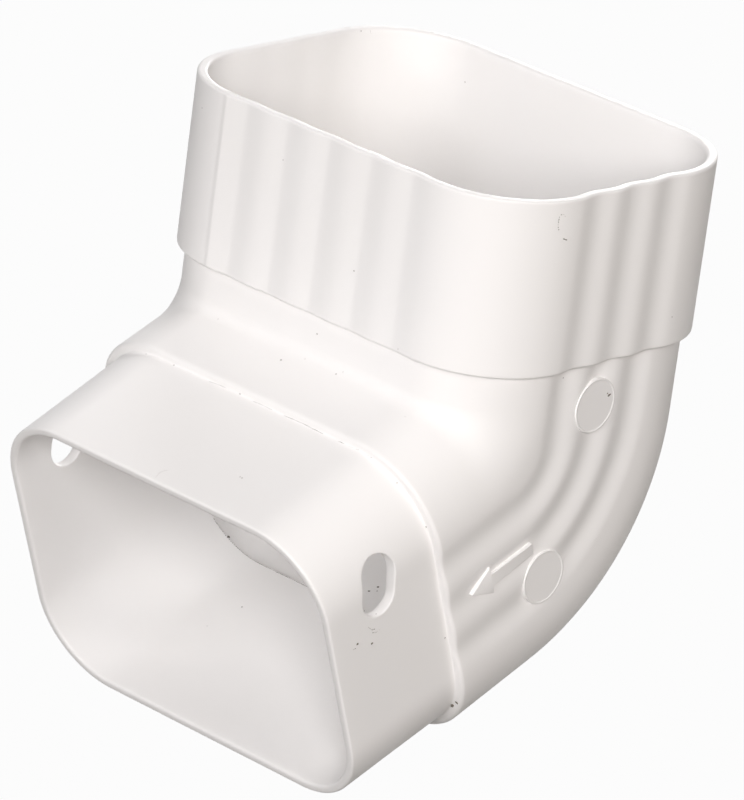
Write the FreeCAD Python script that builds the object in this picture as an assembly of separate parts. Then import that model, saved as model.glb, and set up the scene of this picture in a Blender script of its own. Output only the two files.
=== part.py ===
"""Downspout elbow: one moulded piece with a fluted collar, a bend, a shoulder and a slotted outlet spigot.

Millimetres. The origin is the centre of the collar rim, +Z is up along the collar axis, and the outlet leaves
towards -Y and down. In the outlet, "run" is the distance past the throat corner along the flow and "drop" is
the distance from the throat wall towards the outer wall.
"""
import FreeCAD, Part
import math
import os

COLLAR_WIDTH = 90.0
COLLAR_DEPTH = 67.6
COLLAR_HEIGHT = 33.8
COLLAR_CORNER_R = 18.8
WALL = 2.0
FLUTE_DEPTH = 0.36
FRONT_FLUTES = 5
SIDE_FLUTES = 3

BODY_STEP = 1.7
BODY_CORNER_R = 17.4
THROAT_DROP = 8.7
THROAT_R = 2.8
BEND_R = 53.4
BEND_ANGLE = 68.2
SHOULDER_RUN = 14.0

GROOVE_WIDTH = 8.4
GROOVE_DEPTH = 0.55
GROOVE_CREST = 0.01
GROOVE_PITCH = 10.4
GROOVE_RADII = (12.7, 25.4, 38.1)

SPIGOT_WIDTH = 82.0
SPIGOT_DEPTH = 60.0
SPIGOT_CORNER_R = 15.8
SPIGOT_LENGTH = 26.9
SPIGOT_DRAFT = 0.5
SPIGOT_WALL = 2.0
BORE_LENGTH = 41.4

SLOT_WIDTH = 7.8
SLOT_LENGTH = 11.8
SLOT_FROM_TIP = 13.1
SLOT_ABOVE_AXIS = 15.1
SLOT_TILT = 15.5

PAD_R = 5.25
PAD_RISE = 0.25
UPPER_PAD_BELOW_COLLAR = 9.0
UPPER_PAD_FORWARD = 1.2
LOWER_PAD_RUN = -9.5
LOWER_PAD_BELOW_AXIS = 6.7

RIM_BREAK = 0.4
COLLAR_FOOT_BREAK = 0.6
SHOULDER_BREAK = 0.8

V = FreeCAD.Vector
BODY_WIDTH = COLLAR_WIDTH - 2 * BODY_STEP
BODY_DEPTH = COLLAR_DEPTH - 2 * BODY_STEP
SOCKET_DEPTH = COLLAR_HEIGHT - WALL
TIP_RUN = SHOULDER_RUN + SPIGOT_LENGTH
AXIS_DROP = BODY_DEPTH / 2
TURN = math.radians(BEND_ANGLE)
HALF_TAN = math.tan(TURN / 2)
ALONG = V(0, -math.sin(TURN), -math.cos(TURN))
ACROSS = V(0, math.cos(TURN), -math.sin(TURN))
THROAT = V(0, -BODY_DEPTH / 2, -COLLAR_HEIGHT - THROAT_DROP)
EMBED = WALL / 2
NEAR = 1e-4


def in_outlet(run, drop, x=0.0):
    """Point given in the outlet's own directions."""
    return THROAT + ALONG * run + ACROSS * drop + V(x, 0, 0)


def run_of(point):
    return (point - THROAT).dot(ALONG)


def arc(start, middle, end):
    return Part.Arc(start, middle, end).toShape()


def line(start, end):
    return Part.makeLine(start, end)


def middle_of(edge):
    return edge.valueAt((edge.FirstParameter + edge.LastParameter) / 2)


def edges_at(solid, chosen):
    """Edges whose middle point passes the test `chosen`."""
    return [edge for edge in solid.Edges if chosen(middle_of(edge))]


def half_crest(crest, quarter, direction):
    """Middle of the arc that leaves a crest along `direction` and passes the point a quarter flute away."""
    chord = quarter - crest
    sink = chord - direction * chord.dot(direction)
    radius = chord.dot(chord) / (2 * sink.Length)
    centre = crest + sink * (radius / sink.Length)
    bisector = (crest - centre) + (quarter - centre)
    return centre + bisector * (radius / bisector.Length)


def wave(start, direction, inward, length, count, depth):
    """Tangent arcs along one side: `count` valleys of the given depth between two crests."""
    points = []
    for step in range(4 * count + 1):
        sink = depth * (1 - math.cos(math.pi * step / 2)) / 2
        points.append(start + direction * (step * length / count / 4) + inward * sink)
    edges = [arc(points[0], half_crest(points[0], points[1], direction), points[1])]
    for step in range(1, 4 * count - 1, 2):
        edges.append(arc(points[step], points[step + 1], points[step + 2]))
    edges.append(arc(points[-2], half_crest(points[-1], points[-2], direction * -1), points[-1]))
    return edges


def collar_prism(inset, top, bottom):
    """Collar outline moved in by `inset`: flutes on the front and both sides, a plain back."""
    width = COLLAR_WIDTH - 2 * inset
    depth = COLLAR_DEPTH - 2 * inset
    corner = COLLAR_CORNER_R - inset
    hx = width / 2 - corner
    hy = depth / 2 - corner
    lean = corner * math.sqrt(0.5)
    x, y = V(1, 0, 0), V(0, 1, 0)
    edges = wave(V(-hx, -depth / 2, top), x, y, 2 * hx, FRONT_FLUTES, FLUTE_DEPTH)
    edges.append(arc(V(hx, -depth / 2, top), V(hx + lean, -hy - lean, top), V(width / 2, -hy, top)))
    edges += wave(V(width / 2, -hy, top), y, x * -1, 2 * hy, SIDE_FLUTES, FLUTE_DEPTH)
    edges.append(arc(V(width / 2, hy, top), V(hx + lean, hy + lean, top), V(hx, depth / 2, top)))
    edges.append(line(V(hx, depth / 2, top), V(-hx, depth / 2, top)))
    edges.append(arc(V(-hx, depth / 2, top), V(-hx - lean, hy + lean, top), V(-width / 2, hy, top)))
    edges += wave(V(-width / 2, hy, top), y * -1, x, 2 * hy, SIDE_FLUTES, FLUTE_DEPTH)
    edges.append(arc(V(-width / 2, -hy, top), V(-hx - lean, -hy - lean, top), V(-hx, -depth / 2, top)))
    return Part.Face(Part.Wire(edges)).extrude(V(0, 0, bottom - top))


def collar_outside():
    collar = collar_prism(0, 0, -COLLAR_HEIGHT)
    collar = collar.makeChamfer(RIM_BREAK, edges_at(collar, lambda point: point.z > -NEAR))
    foot = edges_at(collar, lambda point: point.z < NEAR - COLLAR_HEIGHT)
    return collar.makeChamfer(COLLAR_FOOT_BREAK, foot)


def bend_path(drop, radius, top, end_run, x):
    """Line, arc and line that follow the bend at one drop, from height `top` to `end_run` in the outlet."""
    corner = THROAT + V(x, drop, -drop * HALF_TAN)
    start = corner + V(0, 0, radius * HALF_TAN)
    end = corner + ALONG * (radius * HALF_TAN)
    centre = start - V(0, radius, 0)
    middle = centre + V(0, radius * math.cos(TURN / 2), -radius * math.sin(TURN / 2))
    first = V(x, start.y, top)
    last = in_outlet(end_run, drop, x)
    return [line(first, start), arc(start, middle, end), line(end, last)]


def pulled_across(front, back, half, corner, top):
    """Solid between two chains of edges in the side view, pulled to both sides, its long edges rounded."""
    lid = line(front[0].Vertexes[0].Point, back[0].Vertexes[0].Point)
    mouth = line(front[-1].Vertexes[1].Point, back[-1].Vertexes[1].Point)
    outline = Part.Wire(Part.__sortEdges__(front + [mouth] + back + [lid]))
    block = Part.Face(outline).extrude(V(2 * half, 0, 0))
    end_run = run_of(mouth.Vertexes[0].Point)

    def is_long(point):
        on_side = abs(abs(point.x) - half) < NEAR
        return on_side and point.z < top - NEAR and run_of(point) < end_run - NEAR

    return block.makeFillet(corner, edges_at(block, is_long))


def grooved_bend():
    """Outside of the bend with its broken shoulder edge and three grooves on each side."""
    half = BODY_WIDTH / 2
    front = bend_path(0, THROAT_R, -SOCKET_DEPTH, SHOULDER_RUN, -half)
    back = bend_path(BODY_DEPTH, BEND_R, -SOCKET_DEPTH, SHOULDER_RUN, -half)
    bend = pulled_across(front, back, half, BODY_CORNER_R, -SOCKET_DEPTH)
    lip = edges_at(bend, lambda point: run_of(point) > SHOULDER_RUN - NEAR)
    bend = bend.makeChamfer(SHOULDER_BREAK, lip)
    cutters = []
    for index, radius in enumerate(GROOVE_RADII):
        offset = (index - (len(GROOVE_RADII) - 1) / 2) * GROOVE_PITCH
        cutters.append(side_groove(offset, radius, EMBED - SOCKET_DEPTH, SHOULDER_RUN + EMBED))
    return bend.cut(cutters + [mirrored(cutter) for cutter in cutters])


def bend_void():
    """Space inside the bend: a straight shaft down from the socket, its back bent to the inner end of the bore.

    Its front and back roundings share the mouth, where the front one is cut at a slant.
    """
    half = BODY_WIDTH / 2 - WALL
    top = EMBED - SOCKET_DEPTH
    end_run = TIP_RUN - BORE_LENGTH
    back = bend_path(BODY_DEPTH - WALL, BEND_R - WALL, top, end_run, -half)
    front_drop = (WALL - ALONG.y * end_run) / ACROSS.y
    front = [line(V(-half, WALL - BODY_DEPTH / 2, top), in_outlet(end_run, front_drop, -half))]
    mouth = BODY_DEPTH - WALL - front_drop
    widest = mouth * ACROSS.y / (1 + ACROSS.y) - NEAR
    return pulled_across(front, back, half, min(BODY_CORNER_R - WALL, widest), top)


def side_groove(offset, radius, top, end_run):
    """Cutter for one groove on the +X side, its crests just off the side, at `offset` from the middle of it."""
    crest = BODY_WIDTH / 2 + GROOVE_CREST
    path = Part.Wire(bend_path(AXIS_DROP + offset, radius, top, end_run, crest))
    left = V(crest, offset - GROOVE_WIDTH / 2, top)
    right = V(crest, offset + GROOVE_WIDTH / 2, top)
    rise = V(BODY_STEP, 0, 0)
    edges = wave(left, V(0, 1, 0), V(-1, 0, 0), GROOVE_WIDTH, 1, GROOVE_CREST + GROOVE_DEPTH)
    edges += [line(right, right + rise), line(right + rise, left + rise), line(left + rise, left)]
    return path.makePipeShell([Part.Wire(edges)], True, False)


def spigot_outline(run, grow):
    """Spigot outline at one run, larger than the tip by `grow` on every side."""
    width = SPIGOT_WIDTH + 2 * grow
    depth = SPIGOT_DEPTH + 2 * grow
    corner = SPIGOT_CORNER_R + grow
    hx = width / 2 - corner
    hy = depth / 2 - corner
    lean = corner * math.sqrt(0.5)

    def at(x, y):
        return in_outlet(run, AXIS_DROP + y, x)

    arcs = []
    for sx, sy in ((1, -1), (1, 1), (-1, 1), (-1, -1)):
        first = at(sx * hx, sy * depth / 2)
        second = at(sx * width / 2, sy * hy)
        if sx * sy > 0:
            first, second = second, first
        arcs.append(arc(first, at(sx * (hx + lean), sy * (hy + lean)), second))
    edges = []
    for index, corner_arc in enumerate(arcs):
        following = arcs[(index + 1) % len(arcs)]
        edges.append(corner_arc)
        edges.append(line(corner_arc.Vertexes[1].Point, following.Vertexes[0].Point))
    return Part.Wire(edges)


def spigot_outside():
    """Tapered outside of the spigot, started a little inside the shoulder."""
    slope = SPIGOT_DRAFT / SPIGOT_LENGTH
    root = spigot_outline(SHOULDER_RUN - EMBED, SPIGOT_DRAFT + slope * EMBED)
    spigot = Part.makeLoft([root, spigot_outline(TIP_RUN, 0)], True, True)
    tip = edges_at(spigot, lambda point: run_of(point) > TIP_RUN - NEAR)
    return spigot.makeChamfer(RIM_BREAK, tip)


def bore():
    face = Part.Face(spigot_outline(TIP_RUN - BORE_LENGTH, -SPIGOT_WALL))
    return face.extrude(ALONG * (BORE_LENGTH + EMBED))


def slot_cutter():
    """Obround bar across the spigot that makes the slot in both short sides; its low end leans to the tip."""
    run = TIP_RUN - SLOT_FROM_TIP
    drop = AXIS_DROP - SLOT_ABOVE_AXIS
    tilt = math.radians(SLOT_TILT)
    r = SLOT_WIDTH / 2
    straight = SLOT_LENGTH / 2 - r

    def at(beside, down):
        """Point of the outline, measured across and along the slot."""
        forward = beside * math.cos(tilt) + down * math.sin(tilt)
        lower = down * math.cos(tilt) - beside * math.sin(tilt)
        return in_outlet(run + forward, drop + lower, -COLLAR_WIDTH / 2)

    low = arc(at(-r, straight), at(0, straight + r), at(r, straight))
    high = arc(at(r, -straight), at(0, -straight - r), at(-r, -straight))
    near = line(at(-r, -straight), at(-r, straight))
    far = line(at(r, straight), at(r, -straight))
    outline = Part.Wire([near, low, far, high])
    return Part.Face(outline).extrude(V(COLLAR_WIDTH, 0, 0))


def side_pads():
    """Two flat pads on the +X side of the bend."""
    base = BODY_WIDTH / 2 - EMBED
    upper = V(base, -UPPER_PAD_FORWARD, -COLLAR_HEIGHT - UPPER_PAD_BELOW_COLLAR)
    lower = in_outlet(LOWER_PAD_RUN, AXIS_DROP + LOWER_PAD_BELOW_AXIS, base)
    return [Part.makeCylinder(PAD_R, EMBED + PAD_RISE, centre, V(1, 0, 0)) for centre in (upper, lower)]


def mirrored(shape):
    return shape.mirror(V(0, 0, 0), V(1, 0, 0))


def build_elbow():
    shape = collar_outside().fuse([grooved_bend(), spigot_outside()])
    shape = shape.cut([collar_prism(WALL, EMBED, -SOCKET_DEPTH), bend_void(), bore()]).removeSplitter()
    pads = side_pads()
    shape = shape.cut(slot_cutter()).fuse(pads + [mirrored(pad) for pad in pads])
    return shape.removeSplitter().Solids[0]


os.makedirs("parts", exist_ok=True)
elbow = build_elbow()
elbow.exportStep("parts/elbow.step")
print("elbow valid", elbow.isValid(), "volume", round(elbow.Volume), "faces", len(elbow.Faces))
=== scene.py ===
import math

import bmesh
import bpy
import numpy as np
from mathutils import Matrix, Vector, noise
from mathutils.bvhtree import BVHTree


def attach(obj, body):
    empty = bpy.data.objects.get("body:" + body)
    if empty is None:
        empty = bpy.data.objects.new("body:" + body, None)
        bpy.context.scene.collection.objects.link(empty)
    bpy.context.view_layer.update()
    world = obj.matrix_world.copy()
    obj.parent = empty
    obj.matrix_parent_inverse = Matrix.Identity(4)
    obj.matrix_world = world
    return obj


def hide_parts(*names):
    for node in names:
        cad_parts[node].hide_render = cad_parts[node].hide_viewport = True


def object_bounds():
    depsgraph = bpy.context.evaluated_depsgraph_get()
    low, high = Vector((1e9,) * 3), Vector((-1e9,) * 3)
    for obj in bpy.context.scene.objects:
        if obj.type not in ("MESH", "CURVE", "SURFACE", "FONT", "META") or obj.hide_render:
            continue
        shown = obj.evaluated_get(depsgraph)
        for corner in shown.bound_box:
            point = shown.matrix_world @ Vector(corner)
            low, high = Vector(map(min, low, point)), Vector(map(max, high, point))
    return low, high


bl_info = {
    "name": "Downspout Elbow",
    "version": (1, 0, 0),
    "blender": (4, 5, 0),
    "location": "View3D > Sidebar > Elbow",
    "description": "Moulds a white downspout elbow over its packed frame and sets a studio round it",
    "category": "Object",
}

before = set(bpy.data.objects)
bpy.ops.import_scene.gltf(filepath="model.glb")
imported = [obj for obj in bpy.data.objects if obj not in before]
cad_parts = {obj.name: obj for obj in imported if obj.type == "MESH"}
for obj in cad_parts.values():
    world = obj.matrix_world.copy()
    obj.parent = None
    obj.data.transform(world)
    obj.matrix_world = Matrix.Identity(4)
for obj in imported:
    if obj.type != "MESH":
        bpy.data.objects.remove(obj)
CAD_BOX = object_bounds()
MM = 0.001

# Columns of the skin's grid, from the left end of the front round by way of the right side.
FRONT_STEPS = 104
CORNER_STEPS = 22
SIDE_STEPS = 60
BACK_STEPS = 36
AROUND = FRONT_STEPS + 4 * CORNER_STEPS + 2 * SIDE_STEPS + BACK_STEPS
RIGHT_SIDE = FRONT_STEPS + CORNER_STEPS
BACK_CORNER = RIGHT_SIDE + SIDE_STEPS
LAST_CORNER = AROUND - CORNER_STEPS
LEFT_SIDE = LAST_CORNER - SIDE_STEPS
# Columns of the last corner, as shares of it: even at first, then close together at the mould's fine parting
# line. Over the share named last, the corner falls to the foot of the parting step.
EVEN_SHARE = 0.93
PARTING_SHARES = (0.955, 0.972, 0.984, 0.993)
PARTING_FALL = 0.9

# The photo's camera: its frame and focal length in pixels, its place in metres, and its own directions.
PHOTO_WIDTH = 744
PHOTO_HEIGHT = 800
FOCAL_PIXELS = 6450.45
EYE = Vector((0.732958, -0.856457, 0.363189))
VIEW_RIGHT = Vector((0.71798, 0.68498, 0.12372))
VIEW_UP = Vector((-0.32743, 0.17551, 0.92843))
VIEW_BACK = Vector((0.61424, -0.70711, 0.35029))
SENSOR_MM = 36
CLIP_START = 0.05
CLIP_END = 20

# Grit that the photo shows stuck to the moulding: pixel across, pixel down, and size in millimetres.
GRIT = (
    (202, 108, 0.25), (283, 160, 0.22), (354, 271, 0.32), (317, 334, 0.32), (281, 360, 0.45),
    (305, 359, 0.2), (336, 374, 0.3), (343, 372, 0.2), (398, 349, 0.2), (218, 319, 0.2), (174, 365, 0.3),
    (146, 354, 0.22), (240, 394, 0.34), (242, 478, 0.3), (240, 477, 0.24), (397, 483, 0.26),
    (426, 527, 0.28), (228, 537, 0.8), (242, 607, 0.36), (207, 626, 0.2), (357.5, 644, 0.6),
    (372, 643.5, 0.6), (369, 591, 0.55), (378, 587, 0.55), (377, 591, 0.3), (364, 611, 0.25),
    (376, 614, 0.25), (608.7, 395.4, 0.7), (610, 394.4, 0.4), (607.3, 393.6, 0.4), (563, 378, 0.32),
    (445, 638, 0.3), (672, 317, 0.26), (452, 705.4, 1.3), (456.6, 702.8, 0.8), (465, 82, 0.26),
    (361, 31, 0.25),
)
# Scuffs and lines of dirt: the pixels that each one passes, and its width in millimetres.
SCUFFS = (
    (((566, 217), (563, 214), (560, 216), (558.5, 221), (558, 226), (559, 231)), 0.2),
    (((563, 239), (567, 240)), 0.2),
    (((371, 28), (370, 31), (371, 34)), 0.12),
    (((405, 416), (406, 422)), 0.11),
    (((154, 480), (160, 472), (168, 470)), 0.1),
    (((209, 381.5), (217, 384), (226, 388)), 0.08),
    (((253, 401), (262, 405), (272, 410)), 0.12),
    (((284, 415.5), (291, 418.5), (302, 423), (312, 428.5), (323, 434)), 0.15),
    (((338, 441), (344, 443.5)), 0.12),
    (((349, 446), (359, 450)), 0.13),
    (((367, 455), (372, 458)), 0.12),
    (((368, 627), (372, 630), (375, 629)), 0.12),
    (((372, 633), (377, 632), (380, 629)), 0.12),
    (((353, 650), (356, 648)), 0.1),
)
# A line of painted shadow at the bore's inner end: its width in millimetres, and its distance from that end.
LEDGE_SHADE_LINE = 0.16
LEDGE_DISTANCE = 0.1 * MM
# A grain's width as a share of its size, and its thickness and sunk depth as shares of its width.
GRAIN_WIDTH = 0.8
GRAIN_THICKNESS = 0.5
GRAIN_SINK = 0.1
# Lumps across a grain, and their height as a share of its size.
LUMP_COUNT = 3.1
LUMP_HEIGHT = 0.45
# The flakes of dirt lines and painted shadow: spacing, length and swing in line widths, the share by which
# they swell, and the lengths of the waves in which they swing and swell.
FLAKE_SPACING = 3
FLAKE_LENGTH = 2.6
FLAKE_SWING = 0.5
FLAKE_SWELL = 0.8
SWING_WAVE = 0.4 * MM
SWELL_WAVE = 0.7 * MM
SWELL_OFFSET = Vector((7, 0, 0))

# Raised pieces: their edge roundings, and how far they reach into the wall, as a share of it.
PAD_EDGE = 0.08 * MM
ARROW_EDGE = 0.1 * MM
RAISED_ROOT = 0.3
# Middle of a small rounded edge, as a share of its size in from the sharp corner.
EDGE_MIDDLE = 0.3
# The flash: wave length, share and noise row of its two ragged waves, and its least height as a share.
FLASH_WAVES = ((1.6 * MM, 1, 0), (0.5 * MM, 0.5, 3))
FLASH_LEAST = 0.25
# Edges that turn by more than this stay sharp.
SHARP_ANGLE = math.radians(50)
# Keeps a divisor off zero.
TINY = 1e-9


def linear(code):
    """Linear RGB of an sRGB hex colour."""
    levels = [int(code[i:i + 2], 16) / 255 for i in (0, 2, 4)]
    return tuple(v / 12.92 if v <= 0.04045 else ((v + 0.055) / 1.055) ** 2.4 for v in levels)


def add_node(tree, kind, inputs=None, **settings):
    """Adds a node, sets its properties, and gives each named input a value or a link."""
    node = tree.nodes.new(kind)
    for name, value in settings.items():
        setattr(node, name, value)
    for name, value in (inputs or {}).items():
        if isinstance(value, bpy.types.NodeSocket):
            tree.links.new(value, node.inputs[name])
        else:
            node.inputs[name].default_value = value
    return node


def length(name, description, default):
    """A size in metres that the sidebar shows in scene units."""
    return bpy.props.FloatProperty(
        name=name, description=description, default=default, unit="LENGTH", precision=5
    )


def count(name, description, default):
    """A number of like features."""
    return bpy.props.IntProperty(name=name, description=description, default=default)


def angle(name, description, degrees):
    """An angle that is written in degrees."""
    return bpy.props.FloatProperty(
        name=name, description=description, default=math.radians(degrees), subtype="ANGLE"
    )


def colour(name, description, code):
    """A colour that is written in sRGB hex."""
    return bpy.props.FloatVectorProperty(
        name=name, description=description, default=linear(code), subtype="COLOR", min=0, max=1
    )


class ElbowSizes(bpy.types.PropertyGroup):
    """Sizes of the elbow and of what is moulded on it"""

    collar_width: length("Collar width", "Outside of the collar from side to side", 89.94 * MM)
    collar_depth: length("Collar depth", "Outside of the collar from front to back", 67.6 * MM)
    collar_height: length("Collar height", "Rim to foot", 33.8 * MM)
    collar_corner: length("Collar corner", "Corner radius of the collar outline", 18.8 * MM)
    wall: length("Wall", "Wall of the collar and the bend", 2.0 * MM)
    front_flutes: count("Front flutes", "Valleys on the collar front", 5)
    side_flutes: count("Side flutes", "Valleys on each collar side", 3)
    front_flute: length("Front flute", "Valley below crest on the collar front", 0.37 * MM)
    right_flute: length("Right flute", "Valley below crest on the collar's right side", 0.58 * MM)
    left_flute: length("Left flute", "Valley below crest on the collar's left side", 0.18 * MM)
    parting_step: length("Parting step", "Step of the mould's parting line on the collar front", 0.17 * MM)
    body_step: length("Body step", "Collar outside to bend outside", 1.7 * MM)
    body_corner: length("Body corner", "Rounding of the bend's long edges", 17.4 * MM)
    throat_drop: length("Throat drop", "Collar foot to the throat corner", 8.7 * MM)
    throat_radius: length("Throat radius", "Bend radius of the throat wall", 2.8 * MM)
    bend_radius: length("Bend radius", "Bend radius of the outer wall", 53.4 * MM)
    bend_angle: angle("Bend angle", "Turn from the collar to the outlet", 68.2)
    shoulder_run: length("Shoulder run", "Throat corner to the shoulder along the outlet", 14.0 * MM)
    grooves: count("Grooves", "Grooves on each side of the bend", 3)
    groove_width: length("Groove width", "Crest to crest across one side groove", 9.6 * MM)
    groove_depth: length("Groove depth", "Side groove below the side under the collar", 0.78 * MM)
    groove_end_depth: length("Groove end depth", "Side groove below the side at the shoulder", 0.42 * MM)
    groove_pitch: length("Groove pitch", "Side groove to side groove", 9.8 * MM)
    groove_forward: length("Groove forward", "Axis to the middle groove, towards the throat", 0.7 * MM)
    first_groove_radius: length("First groove radius", "Bend radius of the groove by the throat", 12.7 * MM)
    groove_radius_step: length("Groove radius step", "Bend radius gained at each groove", 12.7 * MM)
    spigot_width: length("Spigot width", "Outside of the spigot tip from side to side", 82.0 * MM)
    spigot_depth: length("Spigot depth", "Outside of the spigot tip from top to bottom", 60.0 * MM)
    spigot_corner: length("Spigot corner", "Corner radius of the spigot tip", 15.8 * MM)
    spigot_length: length("Spigot length", "Shoulder to tip", 26.83 * MM)
    spigot_draft: length("Spigot draft", "Growth of each side from tip to shoulder", 0.5 * MM)
    spigot_wall: length("Spigot wall", "Wall of the spigot at its tip", 1.75 * MM)
    bore_draft: length("Bore draft", "Growth of the wall from the tip to the bore's inner end", 0.5 * MM)
    bore_length: length("Bore length", "Tip to the inner end of the bore", 41.4 * MM)
    slot_width: length("Slot width", "Slot across its long way", 7.8 * MM)
    slot_length: length("Slot length", "Slot along its long way", 11.8 * MM)
    slot_from_tip: length("Slot from tip", "Tip to the middle of the slot", 13.1 * MM)
    slot_above_axis: length("Slot above axis", "Outlet axis to the middle of the slot", 15.1 * MM)
    slot_tilt: angle("Slot tilt", "Lean of the slot's low end towards the tip", 15.5)
    pad_radius: length("Pad radius", "Round pads on the sides of the bend", 5.25 * MM)
    pad_rise: length("Pad rise", "Rims of the pads above the side", 0.22 * MM)
    pad_rim: length("Pad rim", "Width of the rim round each pad", 0.36 * MM)
    pad_dish: length("Pad dish", "Flat of each pad below its rim", 0.1 * MM)
    upper_pad_below: length("Upper pad below", "Collar foot to the middle of the upper pad", 9.0 * MM)
    upper_pad_forward: length("Upper pad forward", "Collar axis to the middle of the upper pad", 1.2 * MM)
    lower_pad_back: length("Lower pad back", "Throat corner back to the middle of the lower pad", 9.5 * MM)
    lower_pad_below: length("Lower pad below", "Outlet axis to the middle of the lower pad", 6.7 * MM)
    arrow_length: length("Arrow length", "Tail to tip of the flow arrow", 16.3 * MM)
    arrow_head: length("Arrow head", "Length of the flow arrow's head", 5.3 * MM)
    arrow_head_width: length("Arrow head width", "Width of the flow arrow's head", 5.8 * MM)
    arrow_shaft_width: length("Arrow shaft width", "Width of the flow arrow's shaft", 2.3 * MM)
    arrow_tip_run: length("Arrow tip", "Throat corner to the tip of the flow arrow", 8.4 * MM)
    arrow_above_axis: length("Arrow above axis", "Outlet axis to the middle of the flow arrow", 1.0 * MM)
    arrow_rise: length("Arrow rise", "Flow arrow above the side", 0.28 * MM)
    flash_height: length("Flash height", "Tallest flash at the root of the spigot", 0.2 * MM)


class ElbowFinish(bpy.types.PropertyGroup):
    """Colours of the elbow, of the grit on it and of the floor"""

    pvc: colour("PVC", "Colour of the moulded PVC", "FCFBFB")
    pvc_aged: colour("Aged PVC", "Warmer patches of the PVC", "FBF9F7")
    # The grit colours also paint the dark line of painted shadow at the bore's inner end.
    grit: colour("Grit", "Roof grit stuck to the moulding", "4E463F")
    grit_pale: colour("Pale grit", "Dusty side of the grit", "8C8378")
    floor: colour("Floor", "Colour of the studio floor", "746F69")


class Bend:
    """Places on the bend and the outlet that follow from the sizes.

    In the outlet, run is the distance past the throat corner along the flow, and drop is the distance from
    the throat wall towards the outer wall.
    """

    def __init__(self, sizes):
        self.sizes = sizes
        self.width = sizes.collar_width - 2 * sizes.body_step
        self.depth = sizes.collar_depth - 2 * sizes.body_step
        self.axis = self.depth / 2
        self.turn = sizes.bend_angle
        self.half_tan = math.tan(self.turn / 2)
        self.along = np.array((0, -math.sin(self.turn), -math.cos(self.turn)))
        self.across = np.array((0, math.cos(self.turn), -math.sin(self.turn)))
        self.throat = np.array((0, -self.depth / 2, -sizes.collar_height - sizes.throat_drop))
        self.tip = sizes.shoulder_run + sizes.spigot_length
        self.bore_end = self.tip - sizes.bore_length
        self.socket_floor = sizes.wall - sizes.collar_height
        middle = (sizes.grooves - 1) / 2
        self.grooves = [
            (
                self.axis - sizes.groove_forward + (i - middle) * sizes.groove_pitch,
                sizes.first_groove_radius + i * sizes.groove_radius_step,
            )
            for i in range(sizes.grooves)
        ]

    def in_outlet(self, x, drop, run):
        """Points given by their side, drop and run."""
        x, drop, run = np.broadcast_arrays(x, drop, run)
        points = self.throat + np.multiply.outer(run, self.along) + np.multiply.outer(drop, self.across)
        points[..., 0] += x
        return points

    def runs(self, points):
        """Run of each point."""
        return (points - self.throat) @ self.along

    def drops(self, points):
        """Drop of each point."""
        return (points - self.throat) @ self.across

    def groove_sink(self, points):
        """Depth of the side grooves at points of the side view, each groove bent on its own radius.

        The grooves grow shallower from the collar to the shoulder, with halfway at the throat corner.
        """
        sizes = self.sizes
        sink = np.zeros(points.shape[:-1])
        half = sizes.groove_width / 2
        fade = np.clip(0.5 + self.runs(points) / (2 * sizes.shoulder_run), 0, 1)
        depth = sizes.groove_depth + fade * (sizes.groove_end_depth - sizes.groove_depth)
        for drop, radius in self.grooves:
            start_y = self.throat[1] + drop
            start_z = self.throat[2] + (radius - drop) * self.half_tan
            from_centre = np.hypot(points[..., 1] - start_y + radius, points[..., 2] - start_z)
            past_arc = self.runs(points) > (radius - drop) * self.half_tan
            off = np.where(past_arc, self.drops(points) - drop, from_centre - radius)
            off = np.where(points[..., 2] > start_z, points[..., 1] - start_y, off)
            share = np.clip(np.abs(off) / half, 0, 1)
            sink = np.maximum(sink, depth * (1 + np.cos(math.pi * share)) / 2)
        return sink

    def paths(self, x, drop, radius, top, end_run, steps):
        """Rings that follow a line, an arc and a line round the bend, with the given steps on each."""
        rings = []
        y = self.throat[1] + drop
        z = self.throat[2] + (radius - drop) * self.half_tan
        for share in side_shares(steps[0]):
            rings.append(np.column_stack((x, y, top + share * (z - top))))
        for turned in self.turn * np.arange(steps[1]) / steps[1]:
            bent_y = y - radius + radius * math.cos(turned)
            rings.append(np.column_stack((x, bent_y, z - radius * math.sin(turned))))
        first_run = (radius - drop) * self.half_tan
        for share in np.arange(steps[2] + 1) / steps[2]:
            rings.append(self.in_outlet(x, drop, first_run + share * (end_run - first_run)))
        return rings


def side_shares(steps):
    """Places of evenly spaced columns along a side, as shares of it."""
    return np.arange(steps) / steps


def corner_shares(last):
    """Places of the columns round a corner, as shares of it; the last corner ends at the parting line."""
    if not last:
        return side_shares(CORNER_STEPS)
    even = np.linspace(0, EVEN_SHARE, CORNER_STEPS - len(PARTING_SHARES))
    return np.concatenate((even, PARTING_SHARES))


def rounded_outline(width, depth, corner):
    """Points and outward normals round a rounded rectangle, column by column."""
    end_x, end_y = width / 2 - corner, depth / 2 - corner
    sides = (
        ((-end_x, -depth / 2), (end_x, -depth / 2), side_shares(FRONT_STEPS)),
        ((width / 2, -end_y), (width / 2, end_y), side_shares(SIDE_STEPS)),
        ((end_x, depth / 2), (-end_x, depth / 2), side_shares(BACK_STEPS)),
        ((-width / 2, end_y), (-width / 2, -end_y), side_shares(SIDE_STEPS)),
    )
    points, normals = [], []
    for index, (start, end, shares) in enumerate(sides):
        facing = math.radians(90 * index - 90)
        normal = np.array((math.cos(facing), math.sin(facing)))
        for share in shares:
            points.append(np.array(start) + share * (np.array(end) - np.array(start)))
            normals.append(normal)
        centre = np.array(end) - corner * normal
        for turned in facing + math.radians(90) * corner_shares(index == len(sides) - 1):
            around = np.array((math.cos(turned), math.sin(turned)))
            points.append(centre + corner * around)
            normals.append(around)
    return np.array(points), np.array(normals)


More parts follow.
